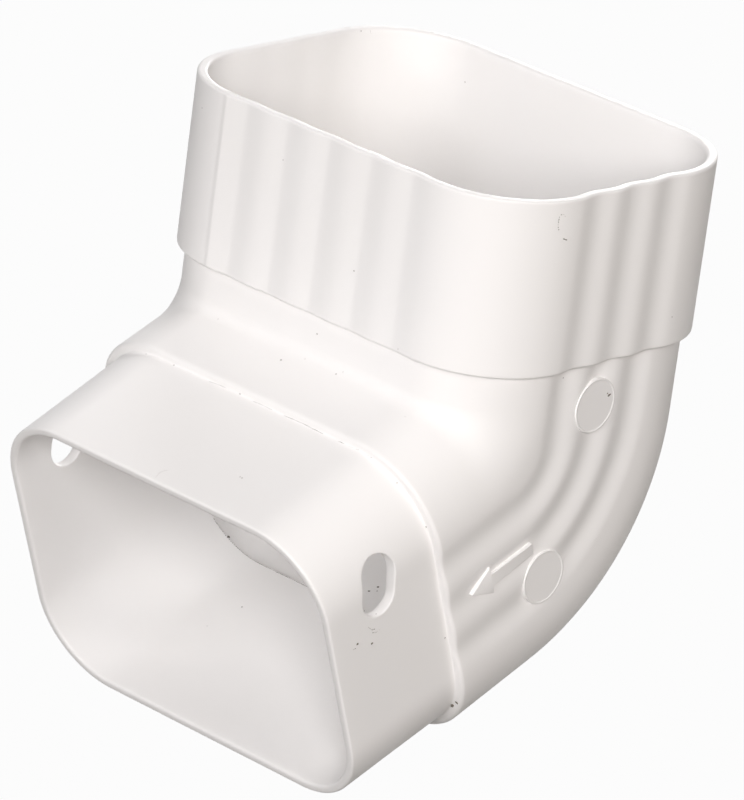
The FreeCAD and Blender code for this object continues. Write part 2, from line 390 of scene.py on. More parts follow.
def collar_flutes(sizes):
    """Sink of the flutes round the collar outline: waves on the front and both sides, none on the back.

    The front's crests are rounder than its valleys. Its first flute falls evenly from the parting line of
    the mould, where the front stands a little proud of the corner beside it.
    """
    sink = np.zeros(AROUND)
    waves = 1 - np.cos(2 * math.pi * sizes.side_flutes * side_shares(SIDE_STEPS))
    sink[RIGHT_SIDE:BACK_CORNER] = sizes.right_flute * waves / 2
    sink[LEFT_SIDE:LAST_CORNER] = sizes.left_flute * waves / 2
    turns = math.pi * sizes.front_flutes * side_shares(FRONT_STEPS)
    front = 0.5 * np.sin(turns) ** 2 + 0.5 * (1 - np.abs(np.cos(turns)))
    first_fall = turns < math.pi / 2
    front[first_fall] = turns[first_fall] / (math.pi / 2)
    sink[:FRONT_STEPS] = sizes.front_flute * front
    step = np.interp(corner_shares(True), (0, PARTING_FALL, PARTING_SHARES[1], 1), (0, 1, 1, 0))
    sink[LAST_CORNER:] = sizes.parting_step * step
    return sink


def quarter(radius, steps):
    """Inset and advance of each step round a convex quarter turn that starts along the surface."""
    turns = math.radians(90) * np.arange(1, steps + 1) / steps
    return [(radius * (1 - math.cos(turned)), radius * math.sin(turned)) for turned in turns]


class Shell:
    """Rings of the elbow's skin, from the rim down the outside to the tip and back up the inside."""

    # Roundings, and the distances from one to the next ring, which keep it tight.
    RIM_EDGE = 0.45 * MM
    RIM_HOLD = 1.5 * RIM_EDGE
    SOCKET_EDGE = 0.6 * MM
    FOOT_EDGE = 0.5 * MM
    FOOT_FILLET = 0.4 * MM
    SHOULDER_EDGE = 0.8 * MM
    ROOT_FILLET = 0.35 * MM
    TIP_EDGE = 0.5 * MM
    BORE_EDGE = 0.6 * MM
    SLOT_EDGE = 0.25 * MM
    HOLD = 0.4 * MM
    # Turns of the rings round an edge, round the two fillets and round the slot's edges, and the steps round
    # the edges of the shoulder and the tip.
    EDGE_TURNS = tuple(np.radians((0, 18, 36, 54, 72, 90)))
    FOOT_TURNS = tuple(np.radians((0, 22.5, 45, 67.5)))
    ROOT_TURNS = tuple(np.radians((0, 30, 60)))
    SLOT_TURNS = tuple(np.radians((0, 30, 60, 90)))
    SHOULDER_STEPS = 6
    TIP_STEPS = 5
    # Numbers of rings on the straight stretches, and on the line, arc and line of the bend.
    COLLAR_RINGS = 12
    SOCKET_RINGS = 10
    TIP_RINGS = 6
    WINDOW_RINGS = 15
    BORE_RINGS = 9
    OUTER_BEND_RINGS = (12, 48, 16)
    INNER_BEND_RINGS = (6, 40, 5)
    # The spigot's first rings past its fillet, measured from the shoulder.
    ROOT_RINGS = (1 * MM, 3.4 * MM)
    # Clear skin round a slot, and shares of it, and of the slot's wall, at which loops stand.
    SLOT_MARGIN = 1.9 * MM
    MARGIN_SHARES = (0.3, 0.55, 0.75, 0.9)
    WALL_SHARES = (0.35, 0.7)
    # Step out from the bore at the front of the space inside the bend, and the tightest bend of that space.
    BORE_STEP = 0.02 * MM
    LEAST_BEND = 5 * MM

    def __init__(self, sizes):
        self.sizes = sizes
        self.bend = Bend(sizes)
        self.rings = []
        self.outer_window = []
        self.inner_window = []
        self.collar = rounded_outline(sizes.collar_width, sizes.collar_depth, sizes.collar_corner)
        self.body = rounded_outline(self.bend.width, self.bend.depth, sizes.body_corner)
        self.flutes = collar_flutes(sizes)
        self.slot_run = self.bend.tip - sizes.slot_from_tip
        self.slot_drop = self.bend.axis - sizes.slot_above_axis
        self.slot_radius = sizes.slot_width / 2
        self.slot_straight = sizes.slot_length / 2 - self.slot_radius

    def window_runs(self):
        """Runs of the rings that frame the slots, from the shoulder towards the tip."""
        reach = self.slot_radius + self.slot_straight * math.sin(self.sizes.slot_tilt) + self.SLOT_MARGIN
        return list(np.linspace(self.slot_run - reach, self.slot_run + reach, self.WINDOW_RINGS))

    def outside_growth(self, run):
        """Growth of the spigot's outside from its tip, at one run or more."""
        return self.sizes.spigot_draft * (self.bend.tip - run) / self.sizes.spigot_length

    def bore_growth(self, run):
        """Growth, below zero, from the outside of the tip to the bore, at one run or more."""
        thicker = self.sizes.bore_draft * (self.bend.tip - run) / self.sizes.bore_length
        return -(self.sizes.spigot_wall + thicker)

    def grown_tip(self, growth):
        """Outline of the spigot's tip, grown all round."""
        sizes = self.sizes
        width, depth = sizes.spigot_width + 2 * growth, sizes.spigot_depth + 2 * growth
        return rounded_outline(width, depth, sizes.spigot_corner + growth)

    def collar_ring(self, inset, z):
        """Adds a ring inside the fluted outline of the collar."""
        points, normals = self.collar
        flat = points - normals * (self.flutes + inset)[:, None]
        self.rings.append(np.column_stack((flat, np.full(AROUND, z))))

    def outlet_ring(self, outline, inset, run):
        """Adds a ring inside an outline of the outlet."""
        points, normals = outline
        flat = points - normals * inset
        self.rings.append(self.bend.in_outlet(flat[:, 0], flat[:, 1] + self.bend.axis, run))

    def spigot_ring(self, run, inset=0):
        """Adds a ring of the spigot's outside."""
        self.outlet_ring(self.grown_tip(self.outside_growth(run)), inset, run)

    def bore_ring(self, run, inset=0):
        """Adds a ring of the bore."""
        self.outlet_ring(self.grown_tip(self.bore_growth(run)), inset, run)

    def grooved(self, ring):
        """A ring of the bend's outside with the side grooves pressed into it."""
        ring = ring.copy()
        ring[:, 0] -= self.body[1][:, 0] * self.bend.groove_sink(ring)
        return ring

    def body_radius(self, drop):
        """Bend radius at each drop: the throat's at the front, the outer wall's at the back."""
        sizes, bend = self.sizes, self.bend
        corner = sizes.body_corner
        knots = (
            (0, sizes.throat_radius),
            (corner, sizes.throat_radius + corner),
            *bend.grooves,
            (bend.depth - corner, sizes.bend_radius - corner),
            (bend.depth, sizes.bend_radius),
        )
        return np.interp(drop, *zip(*sorted(knots)))

    def outside_of_collar(self):
        height, rim, foot = self.sizes.collar_height, self.RIM_EDGE, self.FOOT_EDGE
        self.collar_ring(self.sizes.wall / 2, 0)
        self.collar_ring(self.RIM_HOLD, 0)
        for turned in reversed(self.EDGE_TURNS):
            self.collar_ring(rim * (1 - math.cos(turned)), rim * (math.sin(turned) - 1))
        for z in np.linspace(-rim - self.HOLD, foot + self.HOLD - height, self.COLLAR_RINGS):
            self.collar_ring(0, z)
        for turned in self.EDGE_TURNS:
            self.collar_ring(foot * (1 - math.cos(turned)), foot * (1 - math.sin(turned)) - height)

    def outside_of_bend(self):
        sizes, bend = self.sizes, self.bend
        points, normals = self.body
        x, drop = points[:, 0], points[:, 1] + bend.axis
        fillet = self.FOOT_FILLET
        for turned in self.FOOT_TURNS:
            flat = points + normals * fillet * (1 - math.sin(turned))
            z = -sizes.collar_height - fillet * (1 - math.cos(turned))
            self.rings.append(self.grooved(np.column_stack((flat, np.full(AROUND, z)))))
        top = -sizes.collar_height - fillet
        end_run = sizes.shoulder_run - self.SHOULDER_EDGE
        for ring in bend.paths(x, drop, self.body_radius(drop), top, end_run, self.OUTER_BEND_RINGS):
            self.rings.append(self.grooved(ring))
        for inset, advance in quarter(self.SHOULDER_EDGE, self.SHOULDER_STEPS):
            self.outlet_ring(self.body, inset, end_run + advance)
            self.rings[-1] = self.grooved(self.rings[-1])

    def outside_of_spigot(self):
        shoulder, edge_run = self.sizes.shoulder_run, self.bend.tip - self.TIP_EDGE
        fillet = self.ROOT_FILLET
        window = self.window_runs()
        for turned in self.ROOT_TURNS:
            self.spigot_ring(shoulder + fillet * (1 - math.cos(turned)), -fillet * (1 - math.sin(turned)))
        for past_shoulder in (fillet, *self.ROOT_RINGS):
            self.spigot_ring(shoulder + past_shoulder)
        for run in window:
            self.outer_window.append(len(self.rings))
            self.spigot_ring(run)
        for run in np.linspace(window[-1], edge_run, self.TIP_RINGS)[1:]:
            self.spigot_ring(run)
        for inset, advance in quarter(self.TIP_EDGE, self.TIP_STEPS):
            self.spigot_ring(edge_run + advance, inset)

    def inside_of_bore(self):
        tip, edge = self.bend.tip, self.BORE_EDGE
        window = self.window_runs()
        for turned in self.EDGE_TURNS:
            self.bore_ring(tip - edge * (1 - math.cos(turned)), -edge * (1 - math.sin(turned)))
        for run in np.linspace(tip - edge, window[-1], self.TIP_RINGS)[1:-1]:
            self.bore_ring(run)
        for run in reversed(window):
            self.inner_window.append(len(self.rings))
            self.bore_ring(run)
        for run in np.linspace(window[0], self.bend.bore_end, self.BORE_RINGS)[1:]:
            self.bore_ring(run)

    def inside_of_bend(self):
        """Space between bore and socket: straight down at the front, bent and stepped out at the back."""
        sizes, bend = self.sizes, self.bend
        width, depth = bend.width - 2 * sizes.wall, bend.depth - 2 * sizes.wall
        inner, _ = rounded_outline(width, depth, sizes.body_corner - sizes.wall)
        x, drop = inner[:, 0], inner[:, 1] + bend.axis
        share = side_shares(SIDE_STEPS)
        eased = share * share * (3 - 2 * share)
        bent = np.zeros((AROUND, 1))
        bent[RIGHT_SIDE:BACK_CORNER, 0] = eased
        bent[BACK_CORNER:LEFT_SIDE] = 1
        bent[LEFT_SIDE:LAST_CORNER, 0] = 1 - eased
        points, normals = self.grown_tip(self.bore_growth(bend.bore_end))
        at_bore = points + normals * self.BORE_STEP
        mouth = bend.in_outlet(x, drop, bend.bore_end) * bent
        mouth += bend.in_outlet(at_bore[:, 0], at_bore[:, 1] + bend.axis, bend.bore_end) * (1 - bent)
        radius = np.maximum(sizes.bend_radius - bend.depth + drop, self.LEAST_BEND)
        paths = bend.paths(x, drop, radius, bend.socket_floor, bend.bore_end, self.INNER_BEND_RINGS)
        paths.reverse()
        top = paths[-1]
        for index, path in enumerate(paths):
            share = index / (len(paths) - 1)
            bulge = path - (paths[0] * (1 - share) + top * share)
            self.rings.append(mouth * (1 - share) + top * share + bent * bulge)

    def inside_of_collar(self):
        wall, rim = self.sizes.wall, self.SOCKET_EDGE
        for z in np.linspace(self.bend.socket_floor, -rim - self.HOLD, self.SOCKET_RINGS):
            self.collar_ring(wall, z)
        for turned in self.EDGE_TURNS:
            self.collar_ring(wall - rim * (1 - math.cos(turned)), rim * (math.sin(turned) - 1))

    def make(self):
        """Vertices and quads of the whole skin, with the slots cut through both short sides."""
        self.outside_of_collar()
        self.outside_of_bend()
        self.outside_of_spigot()
        self.inside_of_bore()
        self.inside_of_bend()
        self.inside_of_collar()
        vertices = [tuple(point) for ring in self.rings for point in ring]
        windows = self.slot_windows()
        cut = {
            (row, column)
            for columns in windows
            for rows in (self.outer_window, self.inner_window)
            for row in rows[:-1]
            for column in columns[:-1]
        }
        faces = []
        for row in range(len(self.rings)):
            below = (row + 1) % len(self.rings)
            for column in range(AROUND):
                if (row, column) not in cut:
                    beside = (column + 1) % AROUND
                    corners = ((row, column), (below, column), (below, beside), (row, beside))
                    faces.append(tuple(r * AROUND + c for r, c in corners))
        for columns in windows:
            self.cut_slot(columns, vertices, faces)
        return vertices, faces

    def slot_windows(self):
        """Columns of the grid that frame the right slot and the left slot."""
        points, _ = self.grown_tip(self.outside_growth(self.slot_run))
        reach = self.slot_radius + self.slot_straight + self.SLOT_MARGIN
        off = np.abs(points[:, 1] + self.sizes.slot_above_axis)
        right = [i for i in range(FRONT_STEPS, BACK_CORNER) if off[i] < reach]
        left = [i for i in range(LEFT_SIDE, AROUND) if off[i] < reach]
        return right, left

    def window_loop(self, rows, columns):
        """Grid vertices round a window, in order."""
        cells = [(rows[0], c) for c in columns[:-1]]
        cells += [(r, columns[-1]) for r in rows[:-1]]
        cells += [(rows[-1], c) for c in reversed(columns[1:])]
        cells += [(r, columns[0]) for r in reversed(rows[1:])]
        return [row * AROUND + column for row, column in cells]

    def in_slot(self, points):
        """Points of the spigot, measured across and along the tilted slot from its middle."""
        forward = self.bend.runs(points) - self.slot_run
        lower = self.bend.drops(points) - self.slot_drop
        cos, sin = math.cos(self.sizes.slot_tilt), math.sin(self.sizes.slot_tilt)
        return np.column_stack((forward * cos - lower * sin, forward * sin + lower * cos))

    def out_of_slot(self, plane):
        """Run and drop of points given across and along the tilted slot."""
        beside, down = plane.T
        cos, sin = math.cos(self.sizes.slot_tilt), math.sin(self.sizes.slot_tilt)
        return self.slot_run + beside * cos + down * sin, self.slot_drop + down * cos - beside * sin

    def slot_outline(self, frame_points):
        """Points of the slot's outline on the way to each frame point, and the outward directions there."""
        rays = frame_points / np.linalg.norm(frame_points, axis=1)[:, None]
        beside, down = np.abs(rays).T
        to_side = self.slot_radius / np.maximum(beside, TINY)
        under = np.maximum(self.slot_radius ** 2 - (self.slot_straight * beside) ** 2, 0)
        to_end = self.slot_straight * down + np.sqrt(under)
        edge = rays * np.where(to_side * down <= self.slot_straight, to_side, to_end)[:, None]
        middle = np.clip(edge[:, 1], -self.slot_straight, self.slot_straight)
        return edge, (edge - np.column_stack((np.zeros(len(edge)), middle))) / self.slot_radius

    def half_width_at(self, plane, inside):
        """Distance of the spigot's outside, or of its bore, from the middle plane at points of the slot."""
        sizes = self.sizes
        run, drop = self.out_of_slot(plane)
        growth = self.bore_growth(run) if inside else self.outside_growth(run)
        corner = sizes.spigot_corner + growth
        past_flat = np.abs(drop - self.bend.axis) - (sizes.spigot_depth / 2 - sizes.spigot_corner)
        fall = corner - np.sqrt(np.maximum(corner ** 2 - np.maximum(past_flat, 0) ** 2, 0))
        return sizes.spigot_width / 2 + growth - fall

    def slot_loops(self, outer, inner):
        """Loops from the outer window over the slot's edge, through its wall and out to the inner window."""
        edge, outward = self.slot_outline(outer)
        eased = edge + outward * self.SLOT_EDGE
        rounding = [
            (edge + outward * self.SLOT_EDGE * (1 - math.sin(a)), self.SLOT_EDGE * (1 - math.cos(a)))
            for a in self.SLOT_TURNS
        ]
        loops = []
        for share in self.MARGIN_SHARES:
            plane = outer + (eased - outer) * share
            loops.append((plane, self.half_width_at(plane, False)))
        for plane, sunk in rounding:
            loops.append((plane, self.half_width_at(plane, False) - sunk))
        high = loops[-1][1]
        low = self.half_width_at(edge, True) + self.SLOT_EDGE
        for share in self.WALL_SHARES:
            loops.append((edge, high + (low - high) * share))
        for plane, sunk in reversed(rounding):
            loops.append((plane, self.half_width_at(plane, True) + sunk))
        for share in reversed(self.MARGIN_SHARES):
            plane = inner + (eased - inner) * share
            loops.append((plane, self.half_width_at(plane, True)))
        return loops

    def cut_slot(self, columns, vertices, faces):
        """Joins the outer and inner window of one slot by the loops of its edges and its wall."""
        outer = self.window_loop(self.outer_window, columns)
        inner = self.window_loop(list(reversed(self.inner_window)), columns)
        frames = [self.in_slot(np.array([vertices[i] for i in loop])) for loop in (outer, inner)]
        side = math.copysign(1, vertices[outer[0]][0])
        previous = outer
        for plane, half_width in self.slot_loops(*frames):
            run, drop = self.out_of_slot(plane)
            first = len(vertices)
            vertices.extend(tuple(point) for point in self.bend.in_outlet(side * half_width, drop, run))
            current = list(range(first, first + len(outer)))
            faces.extend(quads_between(previous, current))
            previous = current
        faces.extend(quads_between(previous, inner))


def quads_between(first, second):
    """Corners of the quads between two closed loops."""
    return [(first[i - 1], first[i], second[i], second[i - 1]) for i in range(len(first))]


def raised_pads(sizes, steps=96):
    """Two round pads on each side of the bend, each a shallow dish inside a thin raised rim."""
    bend = Bend(sizes)
    half_width = bend.width / 2
    edge = PAD_EDGE
    lip = sizes.pad_radius - sizes.pad_rim
    # Radius and rise of each loop; the last two hold the flat of the dish flat.
    profile = (
        (sizes.pad_radius, -sizes.groove_depth - RAISED_ROOT * sizes.wall),
        (sizes.pad_radius, sizes.pad_rise - edge),
        (sizes.pad_radius - EDGE_MIDDLE * edge, sizes.pad_rise - EDGE_MIDDLE * edge),
        (sizes.pad_radius - edge, sizes.pad_rise),
        (lip + edge, sizes.pad_rise),
        (lip, sizes.pad_rise - sizes.pad_dish / 2),
        (lip - edge, sizes.pad_rise - sizes.pad_dish),
        (lip - 2 * edge, sizes.pad_rise - sizes.pad_dish),
    )
    upper = np.array((0, -sizes.upper_pad_forward, -sizes.collar_height - sizes.upper_pad_below))
    lower = bend.in_outlet(0, bend.axis + sizes.lower_pad_below, -sizes.lower_pad_back)
    turns = 2 * math.pi * np.arange(steps) / steps
    around = np.column_stack((np.zeros(steps), np.cos(turns), np.sin(turns)))
    pads = bmesh.new()
    for side in (1, -1):
        for centre in (upper, lower):
            loops = []
            for radius, rise in profile:
                points = centre + radius * around
                points[:, 0] = side * (half_width + rise)
                loops.append([pads.verts.new(point) for point in points])
            pads.faces.new(loops[0])
            pads.faces.new(loops[-1])
            for low, high in zip(loops, loops[1:]):
                for corners in quads_between(low, high):
                    pads.faces.new(corners)
    return pads


def arrow_outline(sizes):
    """Flow arrow in the side view, from its tip round by way of its tail."""
    bend = Bend(sizes)
    neck, tail = sizes.arrow_head, sizes.arrow_length
    head, shaft = sizes.arrow_head_width / 2, sizes.arrow_shaft_width / 2
    one_side = [(neck, head), (neck, shaft), (tail, shaft)]
    other_side = [(back, -beside) for back, beside in reversed(one_side)]
    back, beside = np.array([(0, 0), *one_side, *other_side]).T
    return bend.in_outlet(0, bend.axis - sizes.arrow_above_axis + beside, sizes.arrow_tip_run - back)


def raised_arrows(sizes):
    """A flow arrow on each side of the bend, with a rounded top edge."""
    half_width = Bend(sizes).width / 2
    levels = (half_width - (sizes.groove_depth + RAISED_ROOT * sizes.wall), half_width + sizes.arrow_rise)
    outline = arrow_outline(sizes)
    arrows = bmesh.new()
    for side in (1, -1):
        low, high = [[arrows.verts.new((side * x, y, z)) for _, y, z in outline] for x in levels]
        arrows.faces.new(low)
        top = arrows.faces.new(high)
        for corners in quads_between(low, high):
            arrows.faces.new(corners)
        bmesh.ops.bevel(
            arrows, geom=list(top.edges), offset=ARROW_EDGE, segments=3, profile=0.5, affect="EDGES",
            clamp_overlap=True,
        )
    return arrows


def flash_ridge(sizes, steps=260, sides=7):
    """Ragged ridge of flash in the corner between the shoulder and the top of the spigot."""
    bend = Bend(sizes)
    root_drop = bend.axis - sizes.spigot_depth / 2 - sizes.spigot_draft
    reach = sizes.spigot_width / 2 - sizes.spigot_corner
    turns = 2 * math.pi * np.arange(sides) / sides
    ridge = bmesh.new()
    previous = None
    for x in np.linspace(-reach, reach, steps):
        ragged = sum(share * abs(noise.noise((x / wave, row, 0))) for wave, share, row in FLASH_WAVES)
        radius = sizes.flash_height * min(FLASH_LEAST + ragged, 1)
        drop, run = root_drop + radius * np.sin(turns), sizes.shoulder_run + radius * np.cos(turns)
        current = [ridge.verts.new(point) for point in bend.in_outlet(x, drop, run)]
        if previous is None:
            ridge.faces.new(current)
        else:
            for corners in quads_between(previous, current):
                ridge.faces.new(corners)
        previous = current
    ridge.faces.new(previous)
    return ridge


def seen_on(trees, across, down):
    """Place and normal of the moulding at one pixel of the photo."""
    aside = VIEW_RIGHT * (across - PHOTO_WIDTH / 2)
    ray = aside - VIEW_UP * (down - PHOTO_HEIGHT / 2) - VIEW_BACK * FOCAL_PIXELS
    hits = [tree.ray_cast(EYE, ray.normalized()) for tree in trees]
    hits = [hit for hit in hits if hit[0]]
    if not hits:
        raise ValueError(f"the moulding is not at pixel {across}, {down}")
    place, normal, _, _ = min(hits, key=lambda hit: hit[3])
    return place, normal


def add_grain(grit, place, normal, along, long, wide, subdivisions=2):
    """A lumpy flake that lies on a surface, more than half sunk in it, for grit and for the lines of dirt
    and painted shadow.
    """
    lumps = bmesh.ops.create_icosphere(grit, subdivisions=subdivisions, radius=0.5)["verts"]
    normal = normal.normalized()
    along = (along - normal * along.dot(normal)).normalized()
    turn = Matrix((along, normal.cross(along), normal)).transposed().to_4x4()
    size = Matrix.Diagonal((long, wide, GRAIN_THICKNESS * wide, 1))
    shape = Matrix.Translation(place - GRAIN_SINK * wide * normal) @ turn @ size
    for lump in lumps:
        rough = noise.noise(lump.co * LUMP_COUNT + place / MM)
        lump.co = shape @ (lump.co * (1 + LUMP_HEIGHT * rough))


def add_dirt_and_shade_line(grit, start, end, normal, wide):
    """A broken row of small flakes from one place to another, for the lines of dirt and the line of painted
    shadow.
    """
    way = end - start
    flakes = max(round(way.length / (FLAKE_SPACING * wide)), 1)
    side = normal.cross(way).normalized()
    for index in range(flakes):
        place = start + way * (index + 0.5) / flakes
        swing = side * FLAKE_SWING * wide * noise.noise(place / SWING_WAVE)
        swell = 1 + FLAKE_SWELL * noise.noise(place / SWELL_WAVE + SWELL_OFFSET)
        add_grain(grit, place + swing, normal, way, FLAKE_LENGTH * wide * swell, wide * swell, 1)


def ledge_places(sizes):
    """Places and normals along the low edge at the inner end of the bore, where a line of painted shadow is
    laid.
    """
    shell = Shell(sizes)
    bend = shell.bend
    run = bend.bore_end + LEDGE_DISTANCE
    points, normals = shell.grown_tip(shell.bore_growth(run))
    low = slice(BACK_CORNER + CORNER_STEPS // 3, LEFT_SIDE - CORNER_STEPS // 3)
    places = bend.in_outlet(points[low, 0], points[low, 1] + bend.axis, run)
    facing = np.column_stack((-normals[low, 0], np.outer(-normals[low, 1], bend.across[1:])))
    return [(Vector(place), Vector(normal)) for place, normal in zip(places, facing)]


def piece(name, edit, material):
    """A piece that rides on the elbow, made from an edit mesh that is then freed."""
    bmesh.ops.recalc_face_normals(edit, faces=edit.faces)
    mesh = bpy.data.meshes.new(name)
    edit.to_mesh(mesh)
    edit.free()
    mesh.shade_smooth()
    mesh.set_sharp_from_angle(angle=SHARP_ANGLE)
    mesh.materials.append(material)
    made = bpy.data.objects.new(name, mesh)
    bpy.context.scene.collection.objects.link(made)
    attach(made, "root")
    return made


def new_material(name):
    """An empty node material."""
    material = bpy.data.materials.new(name)
    material.use_nodes = True
    material.node_tree.nodes.clear()
    return material


# Patterns of the PVC: width of weathered patches, satin patches and flow ripples, and the ripples' height.
AGED_PATCH = 38 * MM
SATIN_PATCH = 9 * MM
FLOW_RIPPLE = 14 * MM
RIPPLE_HEIGHT = 0.12 * MM
# The real skin's orange peel is finer than a pixel, so it is drawn about four times as coarse.
ORANGE_PEEL = 0.8 * MM
PEEL_HEIGHT = 0.02 * MM
# Size of the dusty patches on the grit.
DUST_PATCH = 0.2 * MM


def moulded_pvc(finish):
    """Injection-moulded rigid PVC, filled white."""
    # A bright satin skin: soft shading, broad dull highlights, faint flow ripples from the mould, and
    # slightly warmer patches where it has weathered.
    material = bpy.data.materials.get("moulded_white_pvc")
    if material:
        return material
    material = new_material("moulded_white_pvc")
    tree = material.node_tree
    place = add_node(tree, "ShaderNodeTexCoord").outputs["Object"]
    patches = add_node(tree, "ShaderNodeTexNoise", {"Vector": place, "Scale": 1 / AGED_PATCH, "Detail": 3.0})
    tint = add_node(
        tree, "ShaderNodeMix",
        {"Factor": patches.outputs["Fac"], "A": (*finish.pvc, 1), "B": (*finish.pvc_aged, 1)},
        data_type="RGBA",
    )
    satin = add_node(tree, "ShaderNodeTexNoise", {"Vector": place, "Scale": 1 / SATIN_PATCH, "Detail": 5.0})
    rough = add_node(
        tree, "ShaderNodeMapRange",
        {"Value": satin.outputs["Fac"], "From Min": 0.3, "From Max": 0.7, "To Min": 0.38, "To Max": 0.5},
    )
    ripple = add_node(tree, "ShaderNodeTexNoise", {"Vector": place, "Scale": 1 / FLOW_RIPPLE, "Detail": 1.0})
    broad = add_node(
        tree, "ShaderNodeBump",
        {"Height": ripple.outputs["Fac"], "Strength": 0.5, "Distance": RIPPLE_HEIGHT},
    )
    peel = add_node(tree, "ShaderNodeTexNoise", {"Vector": place, "Scale": 1 / ORANGE_PEEL, "Detail": 2.0})
    fine = add_node(
        tree, "ShaderNodeBump",
        {"Height": peel.outputs["Fac"], "Strength": 0.35, "Distance": PEEL_HEIGHT,
         "Normal": broad.outputs["Normal"]},
    )
    shader = add_node(
        tree, "ShaderNodeBsdfPrincipled",
        {"Base Color": tint.outputs["Result"], "Roughness": rough.outputs["Result"], "IOR": 1.53,
         "Specular IOR Level": 0.17, "Normal": fine.outputs["Normal"]},
    )
    add_node(tree, "ShaderNodeOutputMaterial", {"Surface": shader.outputs["BSDF"]})
    return material


def roof_grit(finish):
    """Crushed mineral grit and dirt washed off a roof."""
    # Dark, dull grains with a dusty side. The same paint draws the line of painted shadow at the bore's
    # inner end.
    material = new_material("washed_roof_grit_and_painted_shade")
    tree = material.node_tree
    place = add_node(tree, "ShaderNodeTexCoord").outputs["Object"]
    dust = add_node(tree, "ShaderNodeTexNoise", {"Vector": place, "Scale": 1 / DUST_PATCH, "Detail": 3.0})
    tint = add_node(
        tree, "ShaderNodeMix",
        {"Factor": dust.outputs["Fac"], "A": (*finish.grit, 1), "B": (*finish.grit_pale, 1)},
        data_type="RGBA",
    )
    shader = add_node(
        tree, "ShaderNodeBsdfPrincipled",
        {"Base Color": tint.outputs["Result"], "Roughness": 0.9, "IOR": 1.55},
    )
    add_node(tree, "ShaderNodeOutputMaterial", {"Surface": shader.outputs["BSDF"]})
    return material


class ELBOW_OT_mould_shell(bpy.types.Operator):
    """Moulds the elbow itself: collar, bend, shoulder and slotted spigot in one skin"""

    bl_idname = "elbow.mould_shell"
    bl_label = "Mould Shell"

    def execute(self, context):
        vertices, faces = Shell(context.scene.elbow_sizes).make()
        raw = bpy.data.meshes.new("raw_shell")
        raw.from_pydata(vertices, [], faces)
        edit = bmesh.new()
        edit.from_mesh(raw)
        bpy.data.meshes.remove(raw)
        shell = piece("elbow_shell", edit, moulded_pvc(context.scene.elbow_finish))
        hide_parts("elbow")
        return {"FINISHED"}


class ELBOW_OT_raise_pads(bpy.types.Operator):
    """Raises two round pads on each side of the bend"""

    bl_idname = "elbow.raise_pads"
    bl_label = "Raise Pads"

    def execute(self, context):
        pads = raised_pads(context.scene.elbow_sizes)
        piece("side_pads", pads, moulded_pvc(context.scene.elbow_finish))
        return {"FINISHED"}


class ELBOW_OT_raise_arrows(bpy.types.Operator):
    """Raises a flow arrow on each side of the bend"""

    bl_idname = "elbow.raise_arrows"
    bl_label = "Raise Arrows"

    def execute(self, context):
        arrows = raised_arrows(context.scene.elbow_sizes)
        piece("flow_arrows", arrows, moulded_pvc(context.scene.elbow_finish))
        return {"FINISHED"}


class ELBOW_OT_leave_flash(bpy.types.Operator):
    """Leaves the ragged line of flash along the top of the spigot's root"""

    bl_idname = "elbow.leave_flash"
    bl_label = "Leave Flash"

    def execute(self, context):
        ridge = flash_ridge(context.scene.elbow_sizes)
        piece("mould_flash", ridge, moulded_pvc(context.scene.elbow_finish))
        return {"FINISHED"}


class ELBOW_OT_stick_grit(bpy.types.Operator):
    """Sticks grains of grit and lines of dirt to the moulding where the photo shows them, and lays a line of
    painted shadow at the bore's inner end
    """

    bl_idname = "elbow.stick_grit"
    bl_label = "Stick Grit"

    def execute(self, context):
        depsgraph = context.evaluated_depsgraph_get()
        carriers = [bpy.data.objects[name] for name in ("elbow_shell", "side_pads")]
        trees = [BVHTree.FromObject(carrier, depsgraph) for carrier in carriers]
        grit = bmesh.new()
        for across, down, size in GRIT:
            place, normal = seen_on(trees, across, down)
            add_grain(grit, place, normal, VIEW_RIGHT, size * MM, GRAIN_WIDTH * size * MM)
        lines = [([seen_on(trees, *pixel) for pixel in pixels], width) for pixels, width in SCUFFS]
        # The line at the bore's inner end is painted shadow: dark flakes at a step that only casts shade.
        lines.append((ledge_places(context.scene.elbow_sizes), LEDGE_SHADE_LINE))
        for passed, width in lines:
            for (start, normal), (end, _) in zip(passed, passed[1:]):
                add_dirt_and_shade_line(grit, start, end, normal, width * MM)
        piece("stuck_grit", grit, roof_grit(context.scene.elbow_finish))
        return {"FINISHED"}


# Soft lamps round the middle of the elbow: degrees right of the front, degrees up, watts, and colour. Those
# on the shadow side are warmer, as the photo's shadows are, and the low one behind is for the back alone.
LAMP_WHITE = "FFFDFD"
LAMP_WARM = "FFF7EF"
LAMPS = {
    "key": (41, 22.5, 9.1, LAMP_WHITE),
    "front_left": (-30, 31, 2.8, LAMP_WHITE),
    "low_front": (12, 10, 3.2, LAMP_WHITE),
    "right": (80, 26, 3.3, LAMP_WARM),
    "right_top": (65, 60, 0.5, LAMP_WHITE),
    "top": (0, 88, 1.2, LAMP_WHITE),
    "back_left": (-140, 42, 4.6, LAMP_WHITE),
    "back_right": (150, 35, 0.7, LAMP_WARM),
    "back_low": (-148, 8, 7.5, LAMP_WHITE),
}
LAMP_SIZE = 0.45
LAMP_DISTANCE = 1.3
LAMP_AIM = Vector((0, -0.018, -0.058))
# Half the width of the floor, and how white it is seen.
FLOOR_REACH = 4.0
FLOOR_WHITE = 0.97


def shows_white(tree):
    """Share of a ray that sees the background white: rays from the camera, a gloss or a clear piece."""
    seen = add_node(tree, "ShaderNodeLightPath")
    share = seen.outputs["Is Camera Ray"]
    for kind in ("Is Glossy Ray", "Is Transmission Ray"):
        either = add_node(tree, "ShaderNodeMath", {0: share, 1: seen.outputs[kind]}, operation="MAXIMUM")
        share = either.outputs[0]
    return share


